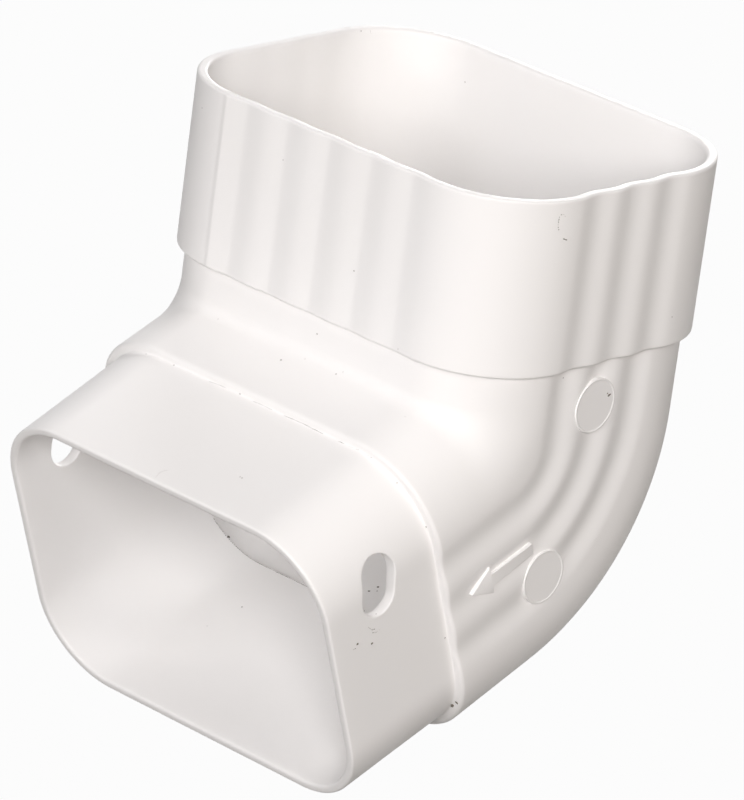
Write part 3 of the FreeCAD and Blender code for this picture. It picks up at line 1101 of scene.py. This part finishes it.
def matt_floor_paint(finish):
    """Matt paint on the studio floor."""
    # A dull even coat that takes a soft shadow: it sends back little light, and is seen nearly white.
    material = new_material("matt_floor_paint")
    tree = material.node_tree
    matt = add_node(tree, "ShaderNodeBsdfDiffuse", {"Color": (*finish.floor, 1)})
    glow = add_node(tree, "ShaderNodeEmission", {"Color": (1, 1, 1, 1), "Strength": 1.0})
    share = add_node(tree, "ShaderNodeMath", {0: shows_white(tree), 1: FLOOR_WHITE}, operation="MULTIPLY")
    shaders = {0: share.outputs[0], 1: matt.outputs[0], 2: glow.outputs[0]}
    both = add_node(tree, "ShaderNodeMixShader", shaders)
    add_node(tree, "ShaderNodeOutputMaterial", {"Surface": both.outputs[0]})
    return material


class ELBOW_OT_set_stage(bpy.types.Operator):
    """Sets the floor, the lights and the camera"""

    bl_idname = "elbow.set_stage"
    bl_label = "Set Stage"

    def execute(self, context):
        context.scene.view_settings.view_transform = "Standard"
        self.lay_floor(context.scene)
        self.light_world(context.scene)
        self.hang_lamps(context.scene)
        self.place_camera(context.scene)
        return {"FINISHED"}

    def lay_floor(self, scene):
        """A wide pale floor that is seen nearly white and keeps the elbow's shadow."""
        mesh = bpy.data.meshes.new("studio_floor")
        corners = ((-1, -1), (1, -1), (1, 1), (-1, 1))
        points = [(x * FLOOR_REACH, y * FLOOR_REACH, CAD_BOX[0].z) for x, y in corners]
        mesh.from_pydata(points, [], [range(len(points))])
        floor = bpy.data.objects.new("studio_floor", mesh)
        scene.collection.objects.link(floor)
        mesh.materials.append(matt_floor_paint(scene.elbow_finish))

    def light_world(self, scene):
        """A white surround to look at that gives no light of its own."""
        world = bpy.data.worlds.new("studio")
        scene.world = world
        world.use_nodes = True
        tree = world.node_tree
        tree.nodes.clear()
        share = shows_white(tree)
        white = add_node(tree, "ShaderNodeBackground", {"Color": (1, 1, 1, 1), "Strength": share})
        add_node(tree, "ShaderNodeOutputWorld", {"Surface": white.outputs[0]})

    def hang_lamps(self, scene):
        """Round soft lamps that all face the elbow."""
        for name, (azimuth, elevation, watts, tint) in LAMPS.items():
            right, up = math.radians(azimuth), math.radians(elevation)
            flat = math.cos(up)
            towards = Vector((math.sin(right) * flat, -math.cos(right) * flat, math.sin(up)))
            lamp = bpy.data.lights.new(name, "AREA")
            lamp.shape = "DISK"
            lamp.size = LAMP_SIZE
            lamp.energy = watts
            lamp.color = linear(tint)
            holder = bpy.data.objects.new(name, lamp)
            holder.location = LAMP_AIM + LAMP_DISTANCE * towards
            holder.rotation_euler = towards.to_track_quat("Z", "Y").to_euler()
            scene.collection.objects.link(holder)

    def place_camera(self, scene):
        """A camera where the photo's was."""
        view = bpy.data.cameras.new("photo_camera")
        view.sensor_width = SENSOR_MM
        view.lens = FOCAL_PIXELS * view.sensor_width / max(PHOTO_WIDTH, PHOTO_HEIGHT)
        view.clip_start = CLIP_START
        view.clip_end = CLIP_END
        camera = bpy.data.objects.new("photo_camera", view)
        turn = Matrix((VIEW_RIGHT, VIEW_UP, VIEW_BACK)).transposed()
        camera.matrix_world = Matrix.Translation(EYE) @ turn.to_4x4()
        scene.collection.objects.link(camera)
        scene.camera = camera


class ELBOW_PT_sidebar(bpy.types.Panel):
    """Sizes, colours and steps of the elbow"""

    bl_label = "Downspout Elbow"
    bl_space_type = "VIEW_3D"
    bl_region_type = "UI"
    bl_category = "Elbow"

    def draw(self, context):
        for group in (context.scene.elbow_sizes, context.scene.elbow_finish):
            box = self.layout.box()
            for name in group.__annotations__:
                box.prop(group, name)
        for step in STEPS:
            self.layout.operator(step.bl_idname)


STEPS = (
    ELBOW_OT_mould_shell, ELBOW_OT_raise_pads, ELBOW_OT_raise_arrows, ELBOW_OT_leave_flash,
    ELBOW_OT_stick_grit, ELBOW_OT_set_stage,
)
CLASSES = (ElbowSizes, ElbowFinish, *STEPS, ELBOW_PT_sidebar)


def register():
    for cls in CLASSES:
        bpy.utils.register_class(cls)
    bpy.types.Scene.elbow_sizes = bpy.props.PointerProperty(type=ElbowSizes)
    bpy.types.Scene.elbow_finish = bpy.props.PointerProperty(type=ElbowFinish)


def unregister():
    del bpy.types.Scene.elbow_finish
    del bpy.types.Scene.elbow_sizes
    for cls in reversed(CLASSES):
        bpy.utils.unregister_class(cls)


def main():
    register()
    bpy.ops.elbow.mould_shell()
    bpy.ops.elbow.raise_pads()
    bpy.ops.elbow.raise_arrows()
    bpy.ops.elbow.leave_flash()
    bpy.ops.elbow.stick_grit()
    bpy.ops.elbow.set_stage()


if __name__ == "__main__":
    main()
